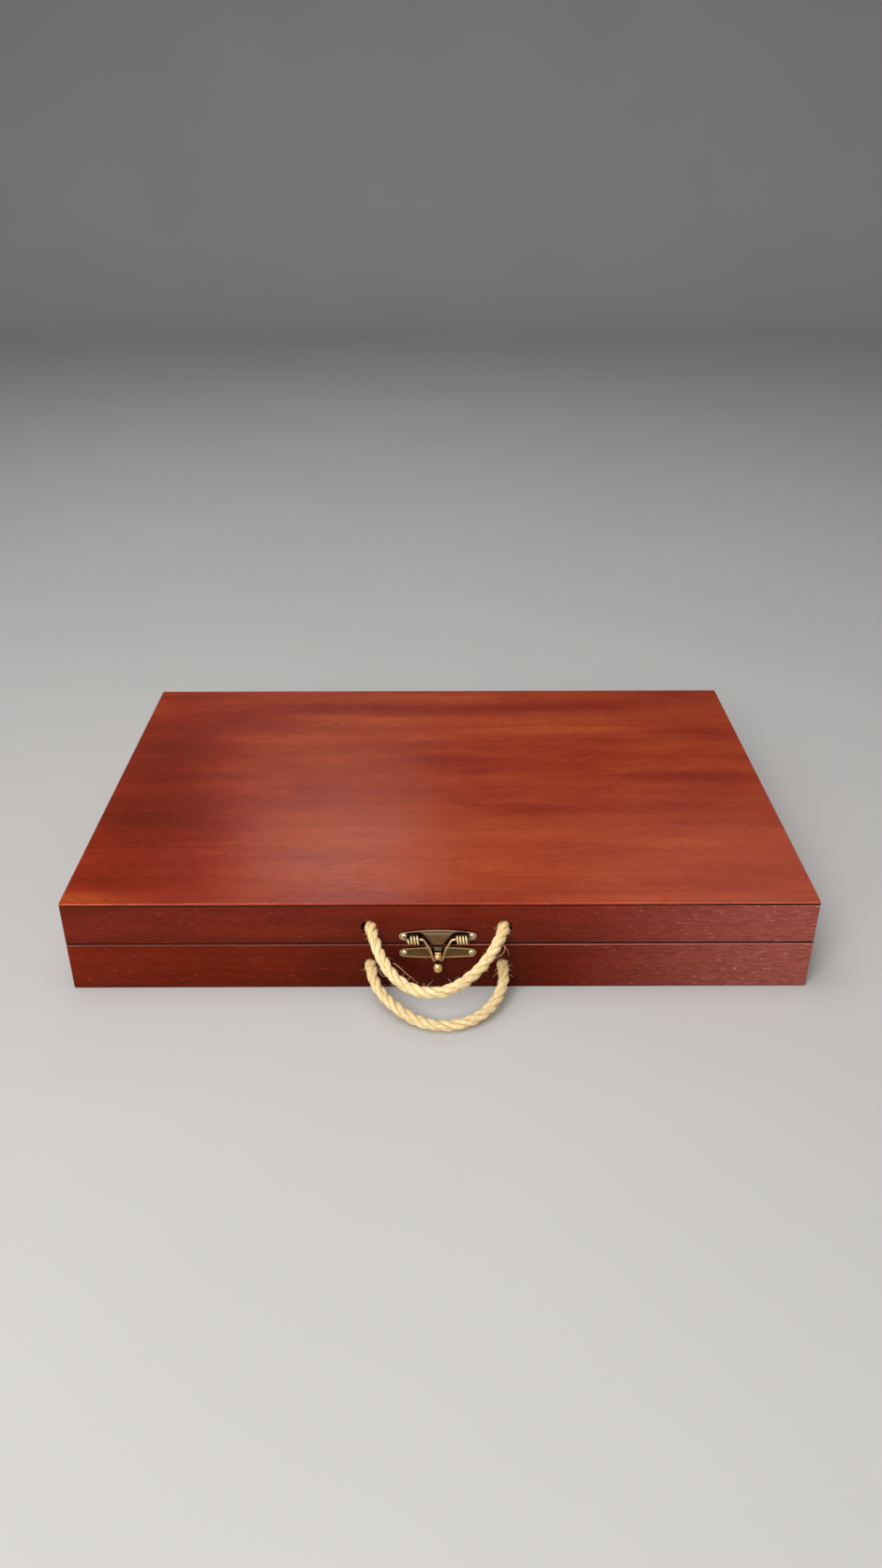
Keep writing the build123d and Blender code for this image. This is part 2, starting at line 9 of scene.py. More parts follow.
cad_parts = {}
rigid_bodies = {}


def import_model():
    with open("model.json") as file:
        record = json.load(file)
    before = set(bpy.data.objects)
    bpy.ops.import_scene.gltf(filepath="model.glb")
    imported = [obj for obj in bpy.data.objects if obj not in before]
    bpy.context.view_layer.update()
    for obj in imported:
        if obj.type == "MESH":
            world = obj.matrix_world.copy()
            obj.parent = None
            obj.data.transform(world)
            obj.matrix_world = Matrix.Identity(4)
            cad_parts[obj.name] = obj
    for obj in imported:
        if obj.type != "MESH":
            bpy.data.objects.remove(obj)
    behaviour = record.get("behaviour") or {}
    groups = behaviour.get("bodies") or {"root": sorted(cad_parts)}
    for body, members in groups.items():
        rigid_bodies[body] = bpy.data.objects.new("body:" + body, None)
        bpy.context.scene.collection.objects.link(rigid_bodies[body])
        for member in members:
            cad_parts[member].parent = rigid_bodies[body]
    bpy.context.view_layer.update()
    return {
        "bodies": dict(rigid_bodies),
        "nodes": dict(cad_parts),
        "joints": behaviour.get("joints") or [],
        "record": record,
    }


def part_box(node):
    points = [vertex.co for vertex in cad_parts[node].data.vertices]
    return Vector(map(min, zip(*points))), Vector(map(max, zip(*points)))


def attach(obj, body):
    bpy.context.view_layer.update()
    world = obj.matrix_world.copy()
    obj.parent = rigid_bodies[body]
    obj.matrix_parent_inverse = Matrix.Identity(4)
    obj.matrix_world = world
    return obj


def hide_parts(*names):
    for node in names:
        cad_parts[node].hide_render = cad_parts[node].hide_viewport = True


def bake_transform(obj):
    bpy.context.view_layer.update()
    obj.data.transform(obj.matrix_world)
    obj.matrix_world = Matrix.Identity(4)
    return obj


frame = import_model()
cadNodes = frame["nodes"]
mm = 0.001
frontY = -152.4     # outer face of the front wall, in millimetres
partingZ = 33.7
latchX = -1.4


# Camera, lights and floor

cameraSetup = {
    "place": (-0.000694921, -0.719092355, 0.461583516),
    "pitch": -0.509253,
    "yaw": -0.002495,
    "roll": -0.001527,
    "lens": 26.454,
}

softboxes = {
    # overhead, from the front for the front walls, and small and low behind for the varnish's soft sheen
    "topSoftbox": {"place": (-0.30, -0.25, 1.7), "aim": (0, 0, 0), "size": 1.3, "power": 16.5},
    "frontSoftbox": {"place": (-0.45, -1.35, 1.0), "aim": (0, -0.1, 0.02), "size": 0.9, "power": 20.0},
    "sheenSoftbox": {"place": (-0.25, 1.6, 1.28), "aim": (-0.06, -0.10, 0.06), "size": 0.42, "power": 1.8},
}

studio = {
    "worldLight": 0.24,
    "floorColour": (0.50, 0.487, 0.475),
    "floorHalfWidth": 12.0,
    "floorBack": 2.6,
    "backdropRadius": 0.8,
    "backdropRise": 3.0,
}


def addCamera(values):
    data = bpy.data.cameras.new("camera")
    data.lens = values["lens"]
    data.sensor_width = 36
    data.clip_start = 0.01
    data.clip_end = 30
    camera = bpy.data.objects.new("camera", data)
    turn = Euler((math.pi / 2 + values["pitch"], 0, values["yaw"]), "XYZ").to_matrix()
    turn = turn @ Matrix.Rotation(values["roll"], 3, "Z")
    camera.matrix_world = Matrix.Translation(values["place"]) @ turn.to_4x4()
    bpy.context.collection.objects.link(camera)
    bpy.context.scene.camera = camera
    bpy.context.scene.view_settings.view_transform = "Standard"


def addSoftbox(name, place, aim, size, power):
    data = bpy.data.lights.new(name, "AREA")
    data.shape = "SQUARE"
    data.size = size
    data.energy = power
    light = bpy.data.objects.new(name, data)
    light.location = place
    light.rotation_euler = (Vector(aim) - Vector(place)).to_track_quat("-Z", "Y").to_euler()
    bpy.context.collection.objects.link(light)


def addWorld(strength):
    world = bpy.data.worlds.new("studio")
    bpy.context.scene.world = world
    world.use_nodes = True
    background = world.node_tree.nodes["Background"]
    background.inputs["Color"].default_value = (1, 1, 1, 1)
    background.inputs["Strength"].default_value = strength


# Material helpers

def newMaterial(name, **sockets):
    material = bpy.data.materials.new(name)
    material.use_nodes = True
    tree = material.node_tree
    shader = tree.nodes["Principled BSDF"]
    for socket, value in sockets.items():
        setSocket(tree, shader, socket.replace("_", " "), value)
    return material, tree, shader


def setSocket(tree, node, socket, value):
    # a socket is linked, and anything else becomes the input's own value
    target = node.inputs[socket]
    if isinstance(value, bpy.types.NodeSocket):
        tree.links.new(value, target)
    elif isinstance(value, (tuple, list)) and target.type == "RGBA":
        target.default_value = (*value[:3], 1)
    else:
        target.default_value = value


def addNode(tree, kind, inputs=None, output=0, **settings):
    node = tree.nodes.new("ShaderNode" + kind)
    for key, value in settings.items():
        setattr(node, key, value)
    for socket, value in (inputs or {}).items():
        setSocket(tree, node, socket, value)
    return node.outputs[output]


def objectPoint(tree):
    return addNode(tree, "TexCoord", output="Object")


def stretched(tree, point, scale):
    return addNode(tree, "Mapping", {"Vector": point, "Scale": scale})


def noiseValue(tree, point, scale=1.0, detail=2.0, roughness=0.5, distortion=0.0):
    return addNode(tree, "TexNoise", {
        "Vector": point, "Scale": scale, "Detail": detail, "Roughness": roughness, "Distortion": distortion,
    })


def patternValues(tree, patterns, point, elsewhere=None):
    # a noise value for each named pattern, read at the point or at a place of its own
    made = {}
    for name, (scale, detail, roughness) in patterns.items():
        place = stretched(tree, (elsewhere or {}).get(name, point), scale)
        made[name] = noiseValue(tree, place, detail=detail, roughness=roughness)
    return made


def mapped(tree, value, low, high, toLow=0.0, toHigh=1.0):
    return addNode(tree, "MapRange", {
        "Value": value, "From Min": low, "From Max": high, "To Min": toLow, "To Max": toHigh,
    }, interpolation_type="SMOOTHSTEP", clamp=True)


def maths(tree, operation, first, second=0.0):
    return addNode(tree, "Math", {0: first, 1: second}, operation=operation)


def product(tree, *values):
    total = values[0]
    for value in values[1:]:
        total = maths(tree, "MULTIPLY", total, value)
    return total


def addedTone(tree, tone, pattern, weight):
    # a pattern's swing about its middle, weighted and added to the tone
    swing = maths(tree, "SUBTRACT", pattern, 0.5)
    return addNode(tree, "Math", {0: swing, 1: weight, 2: tone}, operation="MULTIPLY_ADD")


def mixed(tree, share, first, second, blend="MIX"):
    return addNode(tree, "Mix", {0: share, 6: first, 7: second}, output=2, data_type="RGBA", blend_type=blend)


def ramp(tree, value, stops):
    node = tree.nodes.new("ShaderNodeValToRGB")
    tree.links.new(value, node.inputs["Fac"])
    elements = node.color_ramp.elements
    while len(elements) < len(stops):
        elements.new(0.5)
    for element, (place, colour) in zip(elements, stops):
        element.position = place
        element.color = (*colour, 1)
    return node.outputs["Color"]


def tinted(tree, share, colour, pattern, stops):
    # the colour is multiplied by a ramp of the pattern
    return mixed(tree, share, colour, ramp(tree, pattern, stops), "MULTIPLY")


def bumped(tree, height, distance, strength):
    return addNode(tree, "Bump", {"Height": height, "Distance": distance, "Strength": strength})


def axisParts(tree, point):
    node = tree.nodes.new("ShaderNodeSeparateXYZ")
    tree.links.new(point, node.inputs[0])
    return node.outputs


# Materials

woodLook = {
    "deep": (0.119, 0.0104, 0.0018),
    "red": (0.236, 0.0185, 0.0050),
    "orange": (0.380, 0.0560, 0.0120),
    "pore": (0.030, 0.0035, 0.0020),
    "fleck": (0.620, 0.260, 0.1700),
    "shade": (0.0060, 0.0020, 0.0015),      # painted shade: behind the handles and the latch, and in the bores
    "paintedSheenAndShade": (0.440, 0.130, 0.105),          # painted sheen: a greyish pink where the varnish's sheen spreads
    "roughness": (0.22, 0.30),
    "coatRoughness": 0.16,
    "tone": 0.55,                           # middle tone, and what each pattern adds to it
    "weights": {"bands": 0.65, "wide": 0.6, "lines": 0.42, "mottle": 0.5},
    "poreRelief": 0.00006,
    "swayScale": (3, 9, 9),                 # how the grain wanders, and how far
    "swayReach": 0.014,
}

# the grain's patterns: stretch along and across, detail and roughness of the noise
grainPatterns = {
    "wide": ((2.2, 13, 13), 2.0, 0.5),
    "bands": ((3.6, 46, 46), 3.0, 0.55),
    "lines": ((9, 330, 330), 4.0, 0.62),
    "fibres": ((105, 1300, 1300), 3.0, 0.65),
    "pores": ((170, 1900, 1900), 2.0, 0.5),
    "mottle": ((13, 34, 34), 3.0, 0.6),
    "flecks": ((190, 1100, 1100), 1.0, 0.5),
}

# soft streaks in the lid's top: middle x and y, half length and half width in millimetres, and tone. The
# light one at -50, -80 is partly the wood's lighter tone and partly a painted sheen.
topStreaks = [
    (78, 79, 88, 7, 0.45), (-10, 31, 60, 11, -0.28), (177, 1, 62, 12, -0.22),
    (152, -84, 70, 7, 0.22), (137, -147, 90, 5, 0.25), (-195, -40, 60, 95, -0.40),
    (-130, 89, 70, 15, -0.22), (27, 12, 16, 5, -0.2), (-180, -125, 60, 26, -0.18),
    (-205, 70, 60, 80, -0.30), (40, 120, 160, 16, -0.30), (-50, -80, 100, 60, 0.22),
    (60, -120, 120, 40, 0.12), (-60, 134, 120, 10, 0.15), (-20, 64, 160, 12, 0.08),
    (-120, 120, 90, 26, -0.25), (-215, -146, 22, 8, 0.25),
]
topHeight = 63.5        # of the lid's upper face, in millimetres

# painted shade on the front walls, in millimetres: in the bores, behind the springs and in the tongue's
# window
frontShade = {
    "holes": (-43.2, 39.0),
    "holeRadius": 4.75,
    "springs": (18.4, -1.2, 8.6),       # half width, and the lowest and highest rise from the parting
    "window": (4.3, -9.2, -2.0),
}
outerFace = ((frontY + 1.2) * mm, (frontY + 0.6) * mm)      # fades in over this depth in the front walls

ropeLook = {
    "pale": (1.0, 0.890, 0.540),
    "straw": (0.980, 0.680, 0.310),
    "husk": (0.420, 0.170, 0.045),
    "warmth": (0.97, 0.70, 0.45),
    "relief": 0.00025,
}

# stretch along the rope and round the strand, detail and roughness of the noise
ropePatterns = {
    "lines": ((60, 4.5, 4.5), 4.0, 0.7),
    "fine": ((95, 15, 15), 3.0, 0.65),
    "husks": ((330, 4.2, 4.2), 2.0, 0.6),
    "patches": ((40, 0.8, 0.8), 2.0, 0.5),
}


def softBox(tree, parts, middleX, halfWidth, low, high, blur=0.5):
    # 1 inside a rectangle of the front wall, 0 outside, in millimetres
    across = maths(tree, "ABSOLUTE", maths(tree, "SUBTRACT", parts[0], middleX * mm))
    inside = mapped(tree, across, (halfWidth + blur) * mm, (halfWidth - blur) * mm)
    aboveLow = mapped(tree, parts[2], (low - blur) * mm, (low + blur) * mm)
    belowHigh = mapped(tree, parts[2], (high + blur) * mm, (high - blur) * mm)
    return product(tree, inside, aboveLow, belowHigh)


def roundSpot(tree, parts, middleX, middleZ, radius, blur=0.4):
    x = maths(tree, "SUBTRACT", parts[0], middleX * mm)
    z = maths(tree, "SUBTRACT", parts[2], middleZ * mm)
    square = maths(tree, "ADD", product(tree, x, x), product(tree, z, z))
    return mapped(tree, maths(tree, "SQRT", square), (radius + blur) * mm, (radius - blur) * mm)


def frontShadeMask(tree, holeHeight, outer):
    # painted shade: the bores and the outer face behind the latch are painted nearly black
    values = frontShade
    parts = axisParts(tree, objectPoint(tree))
    masks = []
    for halfWidth, low, high in (values["springs"], values["window"]):
        patch = softBox(tree, parts, latchX, halfWidth, partingZ + low, partingZ + high)
        masks.append(product(tree, outer, patch))
    for x in values["holes"]:
        masks.append(roundSpot(tree, parts, x, holeHeight, values["holeRadius"]))
    total = masks[0]
    for mask in masks[1:]:
        total = maths(tree, "MAXIMUM", total, mask)
    return total


def arrisMask(tree):
    # 1 on the rounded edges, where the normal lies between two axes, and 0 on the flat faces
    normal = addNode(tree, "TexCoord", output="Normal")
    parts = axisParts(tree, addNode(tree, "VectorMath", {0: normal}, operation="ABSOLUTE"))
    most = maths(tree, "MAXIMUM", maths(tree, "MAXIMUM", parts[0], parts[1]), parts[2])
    return mapped(tree, most, 0.97, 0.80)


def streakTone(tree, point, streaks):
    # each streak is a soft ellipse
    total = 0.0
    for x, y, halfLength, halfWidth, tone in streaks:
        place = addNode(tree, "Mapping", {
            "Vector": point, "Location": (x * mm, y * mm, topHeight * mm),
            "Scale": (halfLength * mm, halfWidth * mm, 0.05),
        }, vector_type="TEXTURE")
        far = addNode(tree, "VectorMath", {0: place}, output="Value", operation="LENGTH")
        total = maths(tree, "ADD", total, mapped(tree, far, 1.35, 0.1, 0.0, tone))
    return total


def woodPatterns(tree, raw, turn, shift):
    # the grain runs along x once it is turned, and sways a little
    values = woodLook
    point = addNode(tree, "Mapping", {"Vector": raw, "Rotation": (0, 0, turn), "Location": shift})
    sway = addNode(tree, "TexNoise", {
        "Vector": stretched(tree, point, values["swayScale"]), "Detail": 2.0}, output="Color")
    sway = addNode(tree, "VectorMath", {0: sway, 1: (0.5, 0.5, 0.5)}, operation="SUBTRACT")
    sway = addNode(tree, "VectorMath", {0: sway, "Scale": values["swayReach"]}, operation="SCALE")
    grain = addNode(tree, "VectorMath", {0: point, 1: sway}, operation="ADD")
    aside = addNode(tree, "VectorMath", {0: grain, 1: (0.31, 0.17, 0.23)}, operation="ADD")
    return patternValues(tree, grainPatterns, grain, {"mottle": point, "flecks": aside})


def lineMask(tree, parts, mottle, low, high, start):
    # a dark or bright line along a front wall, which may grow towards the right
    line = product(
        tree, mapped(tree, parts[2], (low - 0.1) * mm, (low + 0.1) * mm),
        mapped(tree, parts[2], (high + 0.1) * mm, (high - 0.1) * mm),
        mapped(tree, mottle, 0.3, 0.55, 0.6, 1.0),
    )
    if start is not None:
        line = product(tree, line, mapped(tree, parts[0], start * mm, (start + 60) * mm, 0.45, 1.0))
    return line


def woodMaterial(
        name, turn=0.0, shift=(0, 0, 0), bias=0.0, fleckShare=0.2, streaks=None, front=None, gloss=0.15):
    values = woodLook
    material, tree, shader = newMaterial(
        name, Specular_IOR_Level=gloss,
        Coat_Weight=gloss / 5, Coat_Roughness=values["coatRoughness"], Coat_IOR=1.45,
    )
    raw = objectPoint(tree)
    parts = axisParts(tree, raw)
    patterns = woodPatterns(tree, raw, turn, shift)
    fibres, pores, mottle = patterns["fibres"], patterns["pores"], patterns["mottle"]

    tone = values["tone"] + bias
    for pattern, weight in values["weights"].items():
        tone = addedTone(tree, tone, patterns[pattern], weight)
    if streaks:
        tone = maths(tree, "ADD", tone, streakTone(tree, raw, streaks))
    if front:
        low, high, drop = front["low"]
        tone = maths(tree, "ADD", tone, mapped(tree, parts[2], low * mm, high * mm, drop, 0.0))
    colour = ramp(tree, tone, [(0.0, values["deep"]), (0.5, values["red"]), (1.0, values["orange"])])
    colour = tinted(tree, 1.0, colour, fibres, [(0.25, (0.76, 0.72, 0.70)), (0.75, (1.24, 1.30, 1.34))])
    colour = mixed(tree, mapped(tree, pores, 0.62, 0.72, 0.0, 0.55), colour, values["pore"])
    flecks = mapped(tree, patterns["flecks"], 0.66, 0.75, 0.0, fleckShare)
    if streaks:
        # painted sheen: the top is a little hazy towards its right front
        haze = product(
            tree, mapped(tree, parts[0], -0.02, 0.2, 0.0, 0.22), mapped(tree, parts[1], 0.05, -0.12))
        colour = mixed(tree, haze, colour, values["paintedSheenAndShade"])
    if front:
        # painted sheen: the outer face turns greyish pink towards its right end, and is more flecked there
        outer = mapped(tree, parts[1], *outerFace)
        east = product(tree, mapped(tree, parts[0], 0.06, 0.228), outer)
        share = product(tree, east, mapped(tree, fibres, 0.3, 0.7, 0.45, 1.0), front["pale"])
        colour = mixed(tree, share, colour, values["paintedSheenAndShade"])
        more = addNode(tree, "Math", {0: east, 1: 3.4, 2: 0.5}, operation="MULTIPLY_ADD")
        flecks = product(tree, flecks, more)
    colour = mixed(tree, flecks, colour, values["fleck"])
    if front:
        # painted shade: the wall is darkest behind the handles
        middle = mapped(tree, maths(tree, "ABSOLUTE", parts[0]), 0.025, 0.12, front["middle"], 0.0)
        colour = mixed(tree, product(tree, middle, outer), colour, values["shade"])
        for low, high, shade, start in front["lines"]:
            line = product(tree, outer, lineMask(tree, parts, mottle, low, high, start))
            colour = mixed(tree, line, colour, shade)
    # the rounded edges are lighter: partly wear, partly a painted highlight
    worn = ramp(tree, mottle, [(0.3, (1.1, 1.3, 1.4)), (0.7, (1.6, 2.3, 2.7))])
    colour = mixed(tree, arrisMask(tree), colour, worn, "MULTIPLY")
    if front:
        # painted shade in the bores and behind the latch
        shade = frontShadeMask(tree, front["holeHeight"], outer)
        colour = mixed(tree, shade, colour, values["shade"])
    setSocket(tree, shader, "Base Color", colour)
    setSocket(tree, shader, "Roughness", mapped(tree, mottle, 0.2, 0.8, *values["roughness"]))
    height = maths(tree, "SUBTRACT", product(tree, fibres, 0.5), mapped(tree, pores, 0.6, 0.7))
    setSocket(tree, shader, "Normal", bumped(tree, height, values["poreRelief"], 0.5))
    return material


def ropeMaterial(name):
    # the rope's mesh carries where each point lies along its strand, and how deep in the crease
    values = ropeLook
    material, tree, shader = newMaterial(
        name, Specular_IOR_Level=0.1, Sheen_Weight=0.04, Sheen_Roughness=0.5)
    fibre = addNode(tree, "Attribute", output="Vector", attribute_name="fibre")
    lines, fine, husks, patches = patternValues(tree, ropePatterns, fibre).values()
    colour = ramp(tree, lines, [(0.32, values["straw"]), (0.56, values["pale"])])
    colour = tinted(tree, 0.9, colour, fine, [(0.30, (0.66, 0.50, 0.29)), (0.52, (1.02, 1.02, 1.02))])
    colour = mixed(tree, mapped(tree, patches, 0.48, 0.78, 0.0, 0.5), colour, values["straw"])
    place = addNode(tree, "Attribute", output="Vector", attribute_name="place")
    crease, groove, ends = axisParts(tree, place)
    # painted shade: the grooves between the strands, and half as much the ends near the holes, are warmed
    # towards orange
    warm = maths(tree, "MAXIMUM", groove, product(tree, ends, 0.5))
    warmer = mixed(tree, 1.0, colour, values["warmth"], "MULTIPLY")
    colour = mixed(tree, product(tree, warm, 0.8), colour, warmer)
    speck = product(tree, mapped(tree, husks, 0.50, 0.60), mapped(tree, crease, 0.2, 0.7))
    colour = mixed(tree, product(tree, speck, 0.85), colour, values["husk"])
    setSocket(tree, shader, "Base Color", colour)
    setSocket(tree, shader, "Roughness", mapped(tree, fine, 0.2, 0.8, 0.62, 0.85))
    height = maths(tree, "SUBTRACT", maths(tree, "ADD", lines, fine), speck)
    setSocket(tree, shader, "Normal", bumped(tree, height, values["relief"], 0.8))
    return material


def fibreMaterial(name):
    material, tree, shader = newMaterial(name, Specular_IOR_Level=0.3)
    cloud = noiseValue(tree, objectPoint(tree), 700, 3.0, 0.6)
    colour = ramp(tree, cloud, [(0.3, (0.72, 0.42, 0.26)), (0.7, (0.95, 0.74, 0.52))])
    setSocket(tree, shader, "Base Color", colour)
    setSocket(tree, shader, "Roughness", mapped(tree, cloud, 0.3, 0.7, 0.45, 0.7))
    setSocket(tree, shader, "Normal", bumped(tree, cloud, 0.00002, 0.5))
    return material


def feltMaterial(name):
    material, tree, shader = newMaterial(
        name, Specular_IOR_Level=0.15, Sheen_Weight=0.6, Sheen_Roughness=0.45, Sheen_Tint=(0.25, 0.6, 0.4),
    )
    point = objectPoint(tree)
    wool = noiseValue(tree, point, 900, 5.0, 0.75, 0.8)
    cloud = noiseValue(tree, point, 26, 3.0, 0.55)
    colour = ramp(tree, wool, [(0.3, (0.006, 0.034, 0.018)), (0.7, (0.022, 0.105, 0.055))])
    colour = tinted(tree, 0.5, colour, cloud, [(0.3, (0.75, 0.75, 0.75)), (0.7, (1.3, 1.3, 1.3))])
    setSocket(tree, shader, "Base Color", colour)
    setSocket(tree, shader, "Roughness", mapped(tree, wool, 0.2, 0.8, 0.85, 1.0))
    setSocket(tree, shader, "Normal", bumped(tree, wool, 0.0004, 0.7))
    return material


def brassMaterial(
        name, base, worn, roughness=(0.34, 0.5), wear=0.5, metal=1.0,
        upShade=0.0, rims=None, patches=(), spots=()):
    # brass with cloudy patina, rubbed bright on its edges, and a few listed parts with a tone of their own,
    # some of them painted shade
    material, tree, shader = newMaterial(name, Metallic=metal)
    raw = objectPoint(tree)
    parts = axisParts(tree, raw)
    cloud = noiseValue(tree, raw, 330, 4.0, 0.6)
    scratches = noiseValue(tree, stretched(tree, raw, (700, 900, 4200)), detail=3.0, roughness=0.7)
    colour = base
    for halfWidth, low, high, reach, tone in patches:
        share = softBox(tree, parts, latchX, halfWidth, partingZ + low, partingZ + high, 0.2)
        inFront = mapped(tree, parts[1], (frontY - reach) * mm, (frontY - reach - 0.4) * mm)
        colour = mixed(tree, product(tree, share, inFront), colour, tone)
    for x, rise, radius, tone in spots:
        spot = roundSpot(tree, parts, latchX + x, partingZ + rise, radius, 0.25)
        colour = mixed(tree, spot, colour, tone)
    colour = tinted(tree, 0.55, colour, cloud, [(0.3, (0.62, 0.60, 0.55)), (0.7, (1.35, 1.33, 1.25))])
    edge = product(tree, arrisMask(tree), wear)
    if upShade:
        # painted shade: faces that look up are painted dark, and their edges less bright
        up = axisParts(tree, addNode(tree, "TexCoord", output="Normal"))[2]
        colour = mixed(tree, mapped(tree, up, 0.15, 0.75, 0.0, upShade), colour, (0.02, 0.013, 0.008))
        edge = product(tree, edge, mapped(tree, up, 0.2, 0.6, 1.0, 0.3))
    if rims:
        # the raised rim stands proud of the plate, outside the box of the hood or the tongue
        proud = product(
            tree, mapped(tree, parts[1], (frontY - 0.95) * mm, (frontY - 1.2) * mm),
            mapped(tree, parts[1], (frontY - 1.8) * mm, (frontY - 1.5) * mm),
        )
        proud = maths(tree, "SUBTRACT", proud, softBox(tree, parts, latchX, *rims, 0.1))
        edge = maths(tree, "MAXIMUM", edge, proud)
    edge = product(tree, edge, mapped(tree, cloud, 0.25, 0.5, 0.75, 1.0))
    colour = mixed(tree, edge, colour, worn)
    colour = tinted(tree, 0.5, colour, scratches, [(0.3, (0.74, 0.72, 0.68)), (0.7, (1.2, 1.2, 1.18))])
    setSocket(tree, shader, "Base Color", colour)
    setSocket(tree, shader, "Roughness", mapped(tree, cloud, 0.3, 0.7, *roughness))
    setSocket(tree, shader, "Normal", bumped(tree, maths(tree, "ADD", cloud, scratches), 0.00003, 0.5))
    return material


def wireMaterial(name, colour, roughness, paintedSheenAndShade, paintedShadeReach):
    # painted shade: bright on the front of the coil and painted dark behind it
    material, tree, shader = newMaterial(name, Metallic=0.6)
    point = objectPoint(tree)
    cloud = noiseValue(tree, point, 700, 4.0, 0.6)
    tint = tinted(tree, 0.5, colour, cloud, [(0.3, (0.7, 0.64, 0.5)), (0.7, (1.1, 1.1, 1.1))])
    near, far = ((frontY - reach) * mm for reach in paintedShadeReach)
    tint = mixed(tree, mapped(tree, axisParts(tree, point)[1], far, near), tint, paintedSheenAndShade)
    setSocket(tree, shader, "Base Color", tint)
    setSocket(tree, shader, "Roughness", mapped(tree, cloud, 0.3, 0.7, roughness, roughness + 0.18))
    setSocket(tree, shader, "Normal", bumped(tree, cloud, 0.00002, 0.4))
    return material


def floorMaterial(name, values):
    material, tree, shader = newMaterial(name, Roughness=0.75, Specular_IOR_Level=0.2)
    point = objectPoint(tree)
    cloud = noiseValue(tree, point, 3.0, 3.0, 0.5)
    lighter = tuple(part * 1.04 for part in values["floorColour"])
    tone = ramp(tree, cloud, [(0.3, values["floorColour"]), (0.7, lighter)])
    setSocket(tree, shader, "Base Color", tone)
    return material


def linkObject(name, bm, material=None):
    mesh = bpy.data.meshes.new(name)
    bm.to_mesh(mesh)
    bm.free()
    mesh.shade_smooth()
    if material:
        mesh.materials.append(material)
    obj = bpy.data.objects.new(name, mesh)
    bpy.context.collection.objects.link(obj)
    return obj


def only(geom, kind):
    return [item for item in geom if isinstance(item, kind)]


def addFloor(values, material):
    # a long sweep: the floor, a quarter round and the backdrop, drawn out from one edge
    half = values["floorHalfWidth"]
    bm = bmesh.new()
    edges = [bm.edges.new((bm.verts.new((-half, -half, 0)), bm.verts.new((half, -half, 0))))]
    drawn = bmesh.ops.extrude_edge_only(bm, edges=edges)["geom"]
    bmesh.ops.translate(bm, verts=only(drawn, bmesh.types.BMVert), vec=(0, half + values["floorBack"], 0))
    edges = [edge for edge in only(drawn, bmesh.types.BMEdge) if all(v.co.y > 0 for v in edge.verts)]
    radius = values["backdropRadius"]
    drawn = bmesh.ops.spin(
        bm, geom=edges, cent=(0, values["floorBack"], radius), axis=(1, 0, 0), angle=math.pi / 2, steps=24,
    )["geom_last"]
    drawn = bmesh.ops.extrude_edge_only(bm, edges=only(drawn, bmesh.types.BMEdge))["geom"]
    bmesh.ops.translate(bm, verts=only(drawn, bmesh.types.BMVert), vec=(0, 0, values["backdropRise"]))
    bmesh.ops.remove_doubles(bm, verts=bm.verts, dist=0.0001)
    bmesh.ops.recalc_face_normals(bm, faces=bm.faces)
    linkObject("floor", bm, material)


addCamera(cameraSetup)
addWorld(studio["worldLight"])
for name, values in softboxes.items():
    addSoftbox(name, **values)
addFloor(studio, floorMaterial("floor", studio))
print("stage: camera, lights and floor are set")


# Rope handles

ropeMakeup = {
    # lengths in metres
    "diameter": 0.0066,
    "strandRadius": 0.00166,
    "strandReach": 0.00172,     # from the rope's middle to a strand's middle
    "lay": 0.0225,              # along the rope for one turn of the strands
    "yarns": 7,
    "yarnRelief": 0.11,
    "yarnLay": 0.0155,
    "grooveShade": (0.93, 0.35),        # share of the crest's height where it starts, and its depth
    "endShade": (0.028, 0.014),         # distance from an end where it starts, and its reach
    # how much the lay, the reach and the thickness wander, each with its wave number along the rope
    "layWander": (0.45, 70),
    "reachWander": (0.07, 110),
    "thickness": (0.11, 60),
    # lumps and hairs: share of the radius, wave numbers along and round, and where the noise starts
    "unevenness": [(0.10, 90, 1.1, 1), (0.07, 160, 5, 2)],
    "ringStep": 0.00045,
    "around": 30,
}

handleRoutes = {
    # along x from the handle's middle, and out from the swing line, both in millimetres
    "lidRopeHandle": {
        "body": "lid", "swinging": "lid_handle", "node": "lid_rope_handle", "height": 45.7, "sag": 21.0,
        "holes": (-40.9, 42.0), "lean": 1.2, "length": 0.153,
        "loop": [(-36.6, 8.6), (-33.1, 18.4), (-28.1, 27.6), (-21.3, 35.5), (-12.6, 40.9), (-2.2, 42.6),
                 (8.3, 40.2), (17.9, 33.9), (26.1, 25.8), (32.5, 16.6), (37.2, 7.4)],
    },
    "baseRopeHandle": {
        "body": "base", "swinging": "base_handle", "node": "base_rope_handle", "height": 17.0, "sag": 20.09,
        "holes": (-41.0, 41.3), "lean": 0.4, "length": 0.152,
        "loop": [(-38.2, 9.0), (-32.8, 18.1), (-25.3, 26.2), (-16.8, 32.9), (-7.2, 37.7), (3.4, 39.4),
                 (14.2, 38.2), (24.2, 34.2), (32.3, 27.0), (38.1, 17.8), (41.2, 8.4)],
    },
}

handlePlace = {
    "middleX": -2.1,
    "swingY": -156.1,
    "insideY": -141.0,      # where the rope goes on into its knot
    "mouthY": -152.4,
    "mouthSwell": 0.13,     # the rope is a little fuller where it fills its hole, over this length each way
    "swellReach": 0.007,
    "blendStart": -150.4,
    "blendEnd": -160.0,
}

